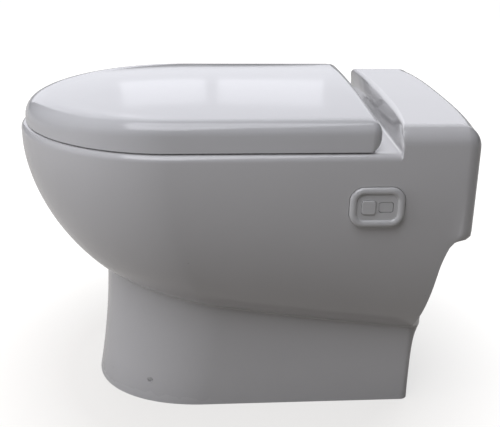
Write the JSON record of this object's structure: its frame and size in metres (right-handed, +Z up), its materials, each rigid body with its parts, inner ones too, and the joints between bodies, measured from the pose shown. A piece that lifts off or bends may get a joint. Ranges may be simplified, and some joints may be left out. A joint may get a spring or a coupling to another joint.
{
  "type": "toilet",
  "caption": "Compact floor-standing toilet with a rounded bowl, waisted foot, raised rear deck, wrap-over lid and side flush pads, with a macerator pump inside.",
  "frame": {"origin": "on the floor, midway across the ceramic body and midway between its front tip and its rear face", "axes": "+Z up, -Y towards the sitter's knees at the front, +Y towards the wall, +X the side with the flush pads (a sitter's left)"},
  "size_m": [0.36, 0.52, 0.388],
  "materials": {
    "white_glaze": "gloss white glaze",
    "seat_plastic": "gloss white",
    "pad_plastic": "satin white",
    "buffer_rubber": "pale grey",
    "dark_rubber": "matt black",
    "grey_plastic": "satin grey",
    "black_plastic": "satin black",
    "white_plastic": "matt white",
    "green_board": "satin green",
    "bright_steel": "brushed",
    "zinc_steel": "zinc plated",
    "brass_fitting": "satin"
  },
  "bodies": {
    "body": {"cable_gland": "black_plastic", "ceramic_body": "white_glaze", "chassis_plate": "zinc_steel", "check_valve_body": "grey_plastic", "check_valve_end": "grey_plastic", "circuit_board": "green_board", "control_box": "white_plastic", "control_box_lid": "white_plastic", "floor_rail_left": "zinc_steel", "floor_rail_right": "zinc_steel", "flush_frame": "pad_plastic", "flush_lock_frame": "grey_plastic", "full_flush_switch": "black_plastic", "grinding_basket": "bright_steel", "half_flush_switch": "black_plastic", "hinge_pin_left": "bright_steel", "hinge_pin_right": "bright_steel", "hinge_post_left": "bright_steel", "hinge_post_right": "bright_steel", "hinge_stud_left": "zinc_steel", "hinge_stud_right": "zinc_steel", "hinge_washer_left": "dark_rubber", "hinge_washer_right": "dark_rubber", "hinge_wing_nut_left": "white_plastic", "hinge_wing_nut_right": "white_plastic", "macerator_cover": "grey_plastic", "macerator_housing": "grey_plastic", "outlet_sleeve": "dark_rubber", "pump_motor": "black_plastic", "pump_volute": "grey_plastic", "rim_hose": "grey_plastic", "screw_cap_left": "pad_plastic", "screw_cap_right": "pad_plastic", "shaft_seal": "dark_rubber", "side_screw_left": "zinc_steel", "side_screw_right": "zinc_steel", "sleeve_clamp": "bright_steel", "solenoid_coil": "black_plastic", "spray_nozzle": "grey_plastic", "switch_cable": "black_plastic", "switch_housing": "grey_plastic", "valve_block": "white_plastic", "valve_bracket": "zinc_steel", "water_inlet": "brass_fitting"},
    "seat": {"seat_ring": "seat_plastic", "seat_buffer_front_left": "buffer_rubber", "seat_buffer_front_right": "buffer_rubber", "seat_buffer_rear_left": "buffer_rubber", "seat_buffer_rear_right": "buffer_rubber"},
    "lid": {"lid_shell": "seat_plastic", "lid_buffer_left": "buffer_rubber", "lid_buffer_right": "buffer_rubber"},
    "full_flush_button": {"full_flush_pad": "pad_plastic"},
    "half_flush_button": {"half_flush_pad": "pad_plastic"},
    "rotor": {"motor_shaft": "bright_steel", "macerator_blade": "bright_steel", "pump_impeller": "grey_plastic"},
    "flap": {"valve_flap": "dark_rubber"},
    "plunger": {"valve_plunger": "bright_steel"}
  },
  "joints": [
    {"name": "seat_hinge", "type": "hinge", "parent": "body", "child": "seat", "pos_m": [0, 0.1395, 0.3605], "axis": [-1, 0, 0], "range_deg": [0, 98]},
    {"name": "lid_hinge", "type": "hinge", "parent": "seat", "child": "lid", "pos_m": [0, 0.1395, 0.3605], "axis": [1, 0, 0], "range_deg": [-100, 0]},
    {"name": "full_flush_press", "type": "slide", "parent": "body", "child": "full_flush_button", "axis": [-1, 0, 0], "range_m": [0, 0.003], "stiffness_N_per_m": 400},
    {"name": "half_flush_press", "type": "slide", "parent": "body", "child": "half_flush_button", "axis": [-1, 0, 0], "range_m": [0, 0.003], "stiffness_N_per_m": 400},
    {"name": "rotor_spin", "type": "hinge", "parent": "body", "child": "rotor", "pos_m": [0, 0.142, 0.1], "axis": [0, 0, 1], "continuous": true},
    {"name": "flap_swing", "type": "hinge", "parent": "body", "child": "flap", "pos_m": [0, 0.1985, 0.062], "axis": [1, 0, 0], "range_deg": [0, 50], "stiffness_Nm_per_rad": 0.002, "springref_deg": -28.65},
    {"name": "plunger_lift", "type": "slide", "parent": "body", "child": "plunger", "axis": [0, 0, 1], "range_m": [0, 0.005], "stiffness_N_per_m": 200, "springref_m": -0.002}
  ]
}
